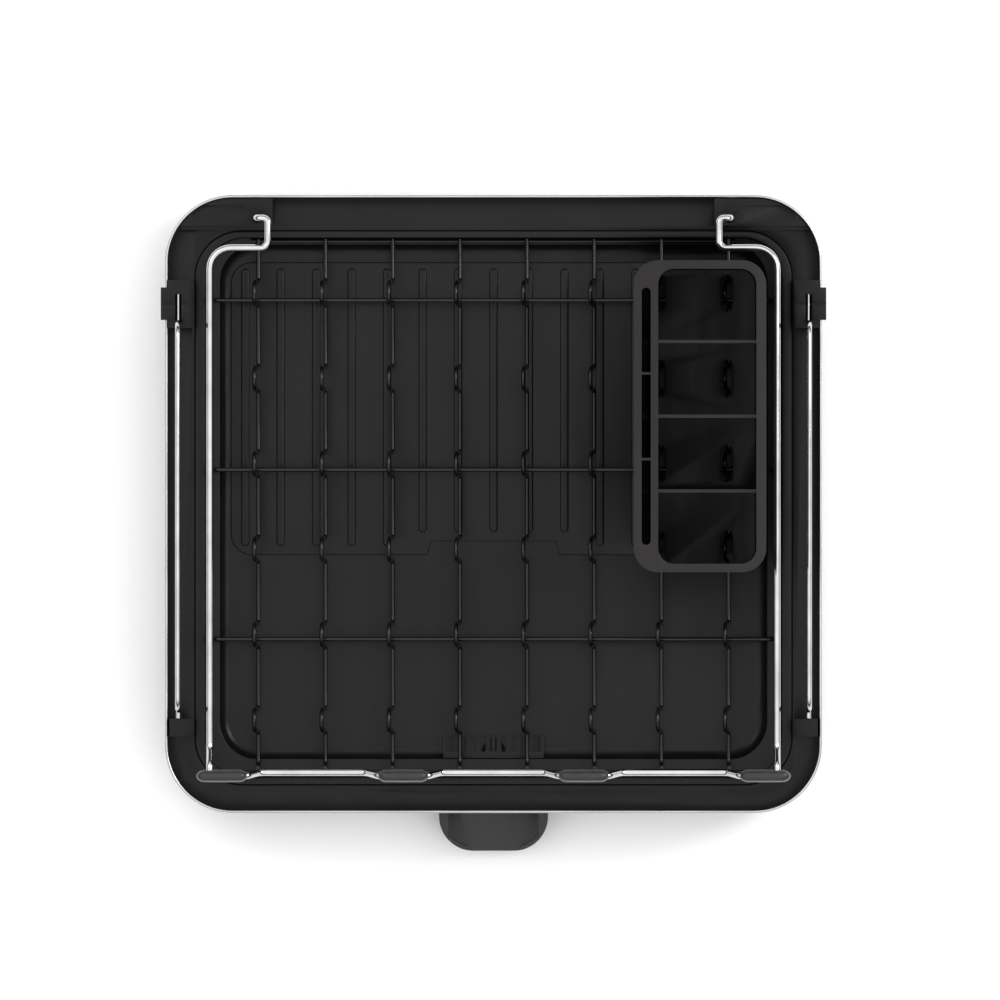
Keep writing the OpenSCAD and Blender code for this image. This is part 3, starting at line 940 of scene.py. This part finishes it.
@dataclass
class WireBasket:
    """The bright rail, the black wires and the silicone grips."""

    dresser: Dresser
    middle: float = field(default_factory=band_middle)
    rail_r: float = 2 * MM
    wire_r: float = 1.2 * MM
    rail_z: float = 120 * MM
    rod_bend: float = 3 * MM
    crest_rise: float = 9 * MM
    crest_half: float = 14 * MM
    slope: float = 8 * MM
    crest_out: float = 2 * MM
    crest_bend: float = 2.5 * MM
    side_foot: float = 16 * MM
    side_top: float = 6 * MM
    post_in: float = 9 * MM
    hook_step: float = 6.6 * MM
    hook_depth: float = 17.1 * MM
    hook_bend: float = 4 * MM
    back_bend: float = 12 * MM
    hump_count: int = 6
    hump_first: float = 121.8 * MM
    hump_pitch: float = 49.3 * MM
    hump_h: float = 22 * MM
    hump_l: float = 18.6 * MM
    hump_lean: float = 2.3 * MM
    hump_foot: float = 3 * MM
    hump_top: float = 6 * MM
    front_bend: float = 5 * MM
    plate_count: int = 8
    plate_pitch: float = 38.8 * MM
    grip_point: float = 1.5
    grip_flat_from: float = 0.3
    grip_flat: float = 0.94
    straight_wires: tuple[str, ...] = (
        "front_wire", "back_wire", "cross_wire_1", "cross_wire_2", "cross_wire_3")
    grips: tuple[str, ...] = ("grip_1", "grip_2", "grip_3", "grip_4")

    def build(self) -> None:
        """Bend the rail and plate wires, dress the straight ones and mould the grips."""
        self.rail()
        bender = RodBender(self.wire_r, sides=12, steps=5)
        for i in range(self.plate_count):
            self.plate_wire(bender, i)
        for node in self.straight_wires:
            self.dresser.node(node, Slot.BLACK_WIRE)
        for node in self.grips:
            self.grip(node)

    def rail(self) -> None:
        """Bend the rail from its left back post round the front to its right back post."""
        low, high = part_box("rail_frame")
        side = high.x - self.rail_r
        post_y = high.y - self.rail_r
        crest_y = low.y + self.rail_r
        front_y = crest_y + self.crest_out
        crest_z = self.rail_z + self.crest_rise
        block_low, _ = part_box("corner_block_right")
        post_x = block_low.x + self.post_in
        hook_x = post_x - self.hook_step
        hook_y = post_y - self.hook_depth
        half: list[tuple[float, float, float, float]] = [
            (post_x, post_y, low.z, 0.0), (post_x, post_y, self.rail_z, self.rod_bend),
            (hook_x, post_y, self.rail_z, self.rod_bend), (hook_x, hook_y, self.rail_z, self.hook_bend),
            (side, hook_y, self.rail_z, self.back_bend),
            (side, crest_y + self.side_foot, self.rail_z, self.rod_bend),
            (side, crest_y + self.side_top, crest_z, self.crest_bend),
            (side, crest_y, crest_z, self.rod_bend)]
        for grip, way in (("grip_4", -1), ("grip_3", 1), ("grip_3", -1)):
            crest_x = self.grip_middle(grip) + way * self.crest_half
            slope = [(crest_x, crest_y, crest_z, self.crest_bend),
                     (crest_x + way * self.slope, front_y, self.rail_z, self.crest_bend)]
            half += slope[::-1] if way > 0 else slope
        stops = [(-x, y, z, t) for x, y, z, t in half] + half[::-1]
        route = [Vector(stop[:3]) for stop in stops]
        trims = [stop[3] for stop in stops]
        bender = RodBender(self.rail_r, sides=20, steps=7)
        piece = bender.bend("rail_rod", route, trims)
        self.dresser.piece(piece, Slot.BRIGHT, Body.BASKET, "rail_frame")

    @staticmethod
    def grip_middle(node: str) -> float:
        """Where a grip is, left to right."""
        low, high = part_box(node)
        return (low.x + high.x) / 2

    def plate_wire(self, bender: RodBender, i: int) -> None:
        """Bend one plate wire with its row of humps.

        Args:
            bender: The bender, set to the wire's radius.
            i: Which wire, from the left.
        """
        node = f"plate_wire_{i + 1}"
        low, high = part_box(node)
        x = (i - (self.plate_count - 1) / 2) * self.plate_pitch
        base = low.z + self.wire_r
        top = base + self.hump_h
        half = self.hump_l / 2 - self.hump_foot
        route, trims = [Vector((x, high.y, base))], [0.0]
        for k in range(self.hump_count):
            y = self.middle + self.hump_first - k * self.hump_pitch
            lean = x - self.hump_lean
            route += [Vector((x, y + half, base)), Vector((lean, y + half, top)),
                      Vector((lean, y - half, top)), Vector((x, y - half, base))]
            trims += [self.hump_foot, self.hump_top, self.hump_top, self.hump_foot]
        front = low.y + self.wire_r
        route += [Vector((x, front, base)), Vector((x, front, high.z))]
        trims += [self.front_bend, 0.0]
        piece = bender.bend(node + "_rod", route, trims)
        self.dresser.piece(piece, Slot.BLACK_WIRE, Body.BASKET, node)

    def grip(self, node: str) -> None:
        """Mould one grip: a long drop with full round ends, pressed a little flat below.

        Args:
            node: The grip's node.
        """
        low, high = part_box(node)
        size = high - low
        middle = (low + high) / 2
        Bench.clear()
        bpy.ops.mesh.primitive_uv_sphere_add(
            segments=28, ring_count=20, radius=size.y / 2, location=middle)
        piece = bpy.context.active_object
        piece.name = node + "_sleeve"
        bpy.ops.object.mode_set(mode="EDIT")
        bpy.ops.transform.resize(value=(self.grip_point, 1.0, size.z / size.y))
        stretch = (size.x - self.grip_point * size.y) / 2
        for side in (-1, 1):
            Bench.choose(piece, Part.VERT, lambda place, _: (place.x - middle.x) * side > TINY)
            bpy.ops.transform.translate(value=(side * stretch, 0.0, 0.0))
        flat_z = middle.z - size.z * self.grip_flat_from
        Bench.choose(piece, Part.VERT, lambda place, _: place.z < flat_z)
        bpy.ops.transform.resize(value=(1.0, self.grip_flat, 1.0))
        bpy.ops.object.mode_set(mode="OBJECT")
        self.dresser.piece(Bench.finish(piece), Slot.SILICONE, Body.BASKET, node)


@dataclass
class Caddy:
    """The utensil caddy."""

    dresser: Dresser
    edge: float = 0.7 * MM

    def build(self) -> None:
        """Round the moulding's edges."""
        piece = Bench.soften("caddy", self.edge, segments=3)
        self.dresser.piece(piece, Slot.CADDY, Body.CADDY, "caddy")


@dataclass
class SideLoops:
    """The two fold-out loops, each one bent wire with a pin at both ends."""

    dresser: Dresser
    wire_r: float = 1.5 * MM
    play: float = 0.04 * MM
    back_pin: float = 22.2 * MM
    front_pin: float = 14.2 * MM
    foot_bend: float = 3 * MM
    top_bend: float = 8 * MM

    def build(self) -> None:
        """Bend both loops."""
        bender = RodBender(self.wire_r - self.play, sides=18)
        for node, body in (("side_loop_left", Body.LOOP_LEFT), ("side_loop_right", Body.LOOP_RIGHT)):
            low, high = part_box(node)
            x = (low.x + high.x) / 2
            foot, top = low.z + self.wire_r, high.z - self.wire_r
            back, front = high.y - self.back_pin, low.y + self.front_pin
            places = [(high.y, foot), (back, foot), (back, top), (front, top), (front, foot), (low.y, foot)]
            route = [Vector((x, y, z)) for y, z in places]
            trims = [0.0, self.foot_bend, self.top_bend, self.top_bend, self.foot_bend, 0.0]
            piece = bender.bend(node + "_rod", route, trims)
            self.dresser.piece(piece, Slot.BRIGHT, body, node)


@dataclass(frozen=True)
class Softbox:
    """A square soft light turned to the rack.

    Args:
        name: The light's name.
        place: Where it hangs.
        size: Its side.
        power: Its power in watts.
    """

    name: str
    place: Triple
    size: float
    power: float

    def hang(self) -> None:
        """Add the light to the scene."""
        light = bpy.data.lights.new(self.name, "AREA")
        light.size = self.size
        light.energy = self.power
        lamp = bpy.data.objects.new(self.name, light)
        lamp.location = self.place
        lamp.rotation_euler = (-Vector(self.place)).to_track_quat("-Z", "Y").to_euler()
        bpy.context.scene.collection.objects.link(lamp)


@dataclass
class Studio:
    """The pale floor, the soft lights and the camera straight above."""

    view_width: float = 577 * MM
    camera_height: float = 20.0
    aim_x: float = 3.75 * MM
    aim_back: float = 2.3 * MM
    sensor: float = 36.0
    zenith: float = 1.75
    horizon: float = 0.08
    haze_low: float = 0.15
    haze_high: float = 0.85
    floor_size: float = 12.0
    lamps: tuple[Softbox, ...] = (
        Softbox("key_light", (1.7, 0.7, 1.6), size=0.9, power=26.0),
        Softbox("fill_light", (-1.5, 1.2, 2.2), size=1.2, power=8.0))

    def build(self) -> None:
        """Set up the floor, the sky, the lights and the camera."""
        self.floor()
        self.sky()
        for lamp in self.lamps:
            lamp.hang()
        self.camera()

    def floor(self) -> None:
        """A wide pale floor with a very faint mottle."""
        Bench.clear()
        bpy.ops.mesh.primitive_plane_add(size=self.floor_size, location=(0.0, 0.0, 0.0))
        piece = bpy.context.active_object
        piece.name = "studio_floor"
        sheet = NodeSheet("pale_floor")
        mottle = sheet.noise((6, 6, 6), detail=3)
        sheet.join(sheet.ramp(mottle, grey(0.93), grey(0.95)), "Color", sheet.shader, "Base Color")
        sheet.shader.inputs["Roughness"].default_value = 0.7
        sheet.shader.inputs["Specular IOR Level"].default_value = 0.2
        piece.data.materials.append(sheet.material)

    def sky(self) -> None:
        """Soft light that is brightest overhead, shown as it is."""
        world = bpy.data.worlds.new("studio_sky")
        bpy.context.scene.world = world
        world.use_nodes = True
        tree = world.node_tree
        place = tree.nodes.new("ShaderNodeTexCoord")
        split = tree.nodes.new("ShaderNodeSeparateXYZ")
        shade = tree.nodes.new("ShaderNodeMapRange")
        shade.interpolation_type = "SMOOTHSTEP"
        shade.inputs["From Min"].default_value = self.haze_low
        shade.inputs["From Max"].default_value = self.haze_high
        shade.inputs["To Min"].default_value = self.horizon
        shade.inputs["To Max"].default_value = self.zenith
        tree.links.new(place.outputs["Generated"], split.inputs["Vector"])
        tree.links.new(split.outputs["Z"], shade.inputs["Value"])
        tree.links.new(shade.outputs["Result"], tree.nodes["Background"].inputs["Strength"])
        tree.nodes["Background"].inputs["Color"].default_value = (1.0, 1.0, 1.0, 1.0)
        bpy.context.scene.view_settings.view_transform = "Standard"

    def camera(self) -> None:
        """A long lens straight above the rack, with its front at the lower edge of the view."""
        _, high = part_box("steel_band")
        data = bpy.data.cameras.new("top_camera")
        camera = bpy.data.objects.new("top_camera", data)
        camera.location = (self.aim_x, band_middle() + self.aim_back, self.camera_height)
        data.sensor_width = self.sensor
        data.lens = self.sensor * (self.camera_height - high.z) / self.view_width
        bpy.context.scene.collection.objects.link(camera)
        bpy.context.scene.camera = camera


def main() -> None:
    """Build the studio and every sub-assembly in order."""
    logging.basicConfig(level=logging.INFO, format="%(name)s: %(message)s")
    Studio().build()
    dresser = Dresser()
    for assembly in (SteelBand, BaseParts, DripTray, Spout, WireBasket, Caddy, SideLoops):
        assembly(dresser).build()
        log.info("%s done", assembly.__name__)
    Bench.clear()


if __name__ == "__main__":
    main()
